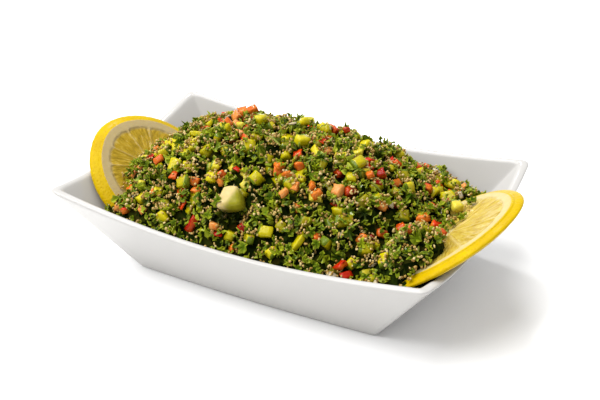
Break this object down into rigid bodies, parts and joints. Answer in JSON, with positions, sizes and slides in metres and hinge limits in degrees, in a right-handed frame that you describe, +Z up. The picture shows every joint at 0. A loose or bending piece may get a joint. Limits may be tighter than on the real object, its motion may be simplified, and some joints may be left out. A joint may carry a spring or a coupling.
{
  "type": "tabbouleh salad in serving dish",
  "caption": "Flared rectangular porcelain serving dish heaped with chopped tabbouleh salad, with a lemon slice leaning on each end wall.",
  "frame": {"origin": "middle of the dish's flat foot, on the surface it stands on", "axes": "+X along the dish's long sides, from the thicker lemon slice to the thinner one; +Z up, out of the foot"},
  "size_m": [0.225, 0.1236, 0.0688],
  "materials": {
    "porcelain": "glossy white glaze",
    "salad": null,
    "lemon": null
  },
  "bodies": {
    "root": {"dish": "porcelain", "salad": "salad", "lemon_slice_left": "lemon", "lemon_slice_right": "lemon"}
  },
  "joints": []
}
